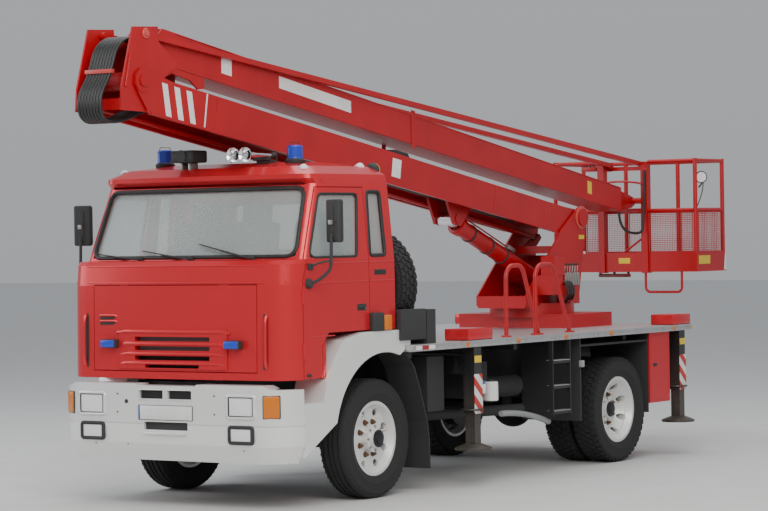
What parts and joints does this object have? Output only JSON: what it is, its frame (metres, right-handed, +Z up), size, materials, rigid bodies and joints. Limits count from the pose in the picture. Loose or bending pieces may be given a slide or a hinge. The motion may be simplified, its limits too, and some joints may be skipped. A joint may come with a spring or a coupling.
{
  "type": "cherry picker truck",
  "caption": "Two-axle cab-over truck with stabiliser jacks, a slewing turret, two folding booms and a work basket.",
  "frame": {"origin": "on the floor below the middle of the whole vehicle with the booms folded for the road", "axes": "+X to the vehicle's left, +Y to its rear, +Z up"},
  "size_m": [2.6926, 8.7454, 3.72],
  "materials": {
    "body_paint": "gloss",
    "white_paint": "gloss",
    "chassis_paint": "satin",
    "wheel_paint": "satin",
    "deck_plate": "satin",
    "black_plastic": "matt",
    "trim_plastic": "matt",
    "seat_cloth": "matt",
    "window_glass": "gloss",
    "lamp_lens": "gloss",
    "blue_lens": "gloss",
    "tyre_rubber": "matt",
    "hose_rubber": "satin",
    "engine_iron": "matt",
    "axle_iron": "satin",
    "jack_paint": "satin",
    "rod_chrome": "gloss",
    "panel_mesh": "satin"
  },
  "bodies": {
    "truck": {"chassis_frame": "chassis_paint", "front_axle": "axle_iron", "rear_axle": "axle_iron", "engine_block": "engine_iron", "side_boxes": "black_plastic", "deck": "deck_plate", "subframe": "body_paint", "jack_housings": "jack_paint", "front_fenders": "white_paint", "mudguards": "black_plastic", "bumper": "white_paint", "front_lamps": "lamp_lens", "cab_shell": "body_paint", "front_panel": "body_paint", "cab_glass": "window_glass", "dashboard": "trim_plastic", "seats": "seat_cloth", "beacons": "blue_lens", "siren_horns": "body_paint", "spare_tyre": "tyre_rubber", "spare_wheel": "wheel_paint", "ladder": "chassis_paint", "handrails": "body_paint", "lockers": "body_paint", "rear_bar": "chassis_paint"},
    "left_door": {"door_left": "body_paint", "door_glass_left": "window_glass", "mirror_left": "black_plastic"},
    "right_door": {"door_right": "body_paint", "door_glass_right": "window_glass", "mirror_right": "black_plastic"},
    "left_knuckle": {"knuckle_left": "axle_iron"},
    "right_knuckle": {"knuckle_right": "axle_iron"},
    "front_left_wheel": {"tyre_front_left": "tyre_rubber", "wheel_front_left": "wheel_paint"},
    "front_right_wheel": {"tyre_front_right": "tyre_rubber", "wheel_front_right": "wheel_paint"},
    "rear_left_wheels": {"tyres_rear_left": "tyre_rubber", "wheels_rear_left": "wheel_paint"},
    "rear_right_wheels": {"tyres_rear_right": "tyre_rubber", "wheels_rear_right": "wheel_paint"},
    "front_left_jack": {"jack_leg_front_left": "jack_paint"},
    "front_right_jack": {"jack_leg_front_right": "jack_paint"},
    "rear_left_jack": {"jack_leg_rear_left": "jack_paint"},
    "rear_right_jack": {"jack_leg_rear_right": "jack_paint"},
    "turret": {"turret": "body_paint", "turret_controls": "trim_plastic"},
    "lift_barrel": {"lift_barrel": "body_paint"},
    "lift_rod": {"lift_rod": "rod_chrome"},
    "lower_boom": {"lower_boom": "body_paint"},
    "lower_tie_rod": {"lower_tie_rod": "body_paint"},
    "elbow": {"elbow_frame": "body_paint", "elbow_hoses": "hose_rubber"},
    "upper_boom": {"upper_boom": "body_paint"},
    "upper_tie_rods": {"upper_tie_rods": "body_paint"},
    "basket": {"basket": "body_paint", "basket_panels": "panel_mesh", "basket_hose": "hose_rubber"}
  },
  "joints": [
    {"name": "steer_left", "type": "hinge", "parent": "truck", "child": "left_knuckle", "pos_m": [0.76, -2.212, 0.478], "axis": [0, 0, 1], "range_deg": [-35, 35]},
    {"name": "steer_right", "type": "hinge", "parent": "truck", "child": "right_knuckle", "pos_m": [-0.76, -2.212, 0.478], "axis": [0, 0, 1], "range_deg": [-35, 35]},
    {"name": "front_left_roll", "type": "hinge", "parent": "left_knuckle", "child": "front_left_wheel", "pos_m": [0.938, -2.212, 0.478], "axis": [1, 0, 0], "continuous": true},
    {"name": "front_right_roll", "type": "hinge", "parent": "right_knuckle", "child": "front_right_wheel", "pos_m": [-0.938, -2.212, 0.478], "axis": [1, 0, 0], "continuous": true},
    {"name": "rear_left_roll", "type": "hinge", "parent": "truck", "child": "rear_left_wheels", "pos_m": [1, 1.55, 0.478], "axis": [1, 0, 0], "continuous": true},
    {"name": "rear_right_roll", "type": "hinge", "parent": "truck", "child": "rear_right_wheels", "pos_m": [-1, 1.55, 0.478], "axis": [1, 0, 0], "continuous": true},
    {"name": "door_left_swing", "type": "hinge", "parent": "truck", "child": "left_door", "pos_m": [1.117, -3.258, 1.5], "axis": [0, 0, -1], "range_deg": [0, 70]},
    {"name": "door_right_swing", "type": "hinge", "parent": "truck", "child": "right_door", "pos_m": [-1.117, -3.258, 1.5], "axis": [0, 0, 1], "range_deg": [0, 70]},
    {"name": "jack_front_left", "type": "slide", "parent": "truck", "child": "front_left_jack", "axis": [0, 0, -1], "range_m": [0, 0.42]},
    {"name": "jack_front_right", "type": "slide", "parent": "truck", "child": "front_right_jack", "axis": [0, 0, -1], "range_m": [0, 0.42]},
    {"name": "jack_rear_left", "type": "slide", "parent": "truck", "child": "rear_left_jack", "axis": [0, 0, -1], "range_m": [0, 0.42]},
    {"name": "jack_rear_right", "type": "slide", "parent": "truck", "child": "rear_right_jack", "axis": [0, 0, -1], "range_m": [0, 0.42]},
    {"name": "slew", "type": "hinge", "parent": "truck", "child": "turret", "pos_m": [0, 1.918, 1.41], "axis": [0, 0, 1], "range_deg": [-105, 180]},
    {"name": "lower_lift", "type": "hinge", "parent": "turret", "child": "lower_boom", "pos_m": [0, 2.404, 2.236], "axis": [-1, 0, 0], "range_deg": [0, 75]},
    {"name": "elbow_level", "type": "hinge", "parent": "lower_boom", "child": "elbow", "pos_m": [0, -4.072, 3.3], "axis": [-1, 0, 0], "range_deg": [-75, 0]},
    {"name": "lower_tie", "type": "hinge", "parent": "turret", "child": "lower_tie_rod", "pos_m": [-0.15, 2.274, 2.051], "axis": [-1, 0, 0], "range_deg": [0, 75]},
    {"name": "lift_barrel_swing", "type": "hinge", "parent": "turret", "child": "lift_barrel", "pos_m": [0, 1.938, 1.68], "axis": [-1, 0, 0], "range_deg": [0, 70.6]},
    {"name": "lift_rod_slide", "type": "slide", "parent": "lift_barrel", "child": "lift_rod", "axis": [0, -0.9339, 0.3575], "range_m": [0, 0.861]},
    {"name": "upper_lift", "type": "hinge", "parent": "elbow", "child": "upper_boom", "pos_m": [0, -4.072, 3.3], "axis": [1, 0, 0], "range_deg": [0, 70], "deforming": ["elbow_hoses"]},
    {"name": "upper_tie", "type": "hinge", "parent": "elbow", "child": "upper_tie_rods", "pos_m": [0, -4.012, 3.66], "axis": [1, 0, 0], "range_deg": [0, 70]},
    {"name": "basket_level", "type": "hinge", "parent": "upper_boom", "child": "basket", "pos_m": [0, 3.718, 2.4], "axis": [1, 0, 0], "range_deg": [-70, 0], "deforming": ["basket_hose"]}
  ],
  "couplings": [
    {"joint": "steer_right", "follows": "steer_left", "ratio": 1},
    {"joint": "elbow_level", "follows": "lower_lift", "ratio": -1},
    {"joint": "lower_tie", "follows": "lower_lift", "ratio": 1},
    {"joint": "lift_barrel_swing", "follows": "lower_lift", "ratio": 0.94},
    {"joint": "lift_rod_slide", "follows": "lower_lift", "m_per_rad": 0.656},
    {"joint": "upper_tie", "follows": "upper_lift", "ratio": 1},
    {"joint": "basket_level", "follows": "upper_lift", "ratio": -1}
  ]
}
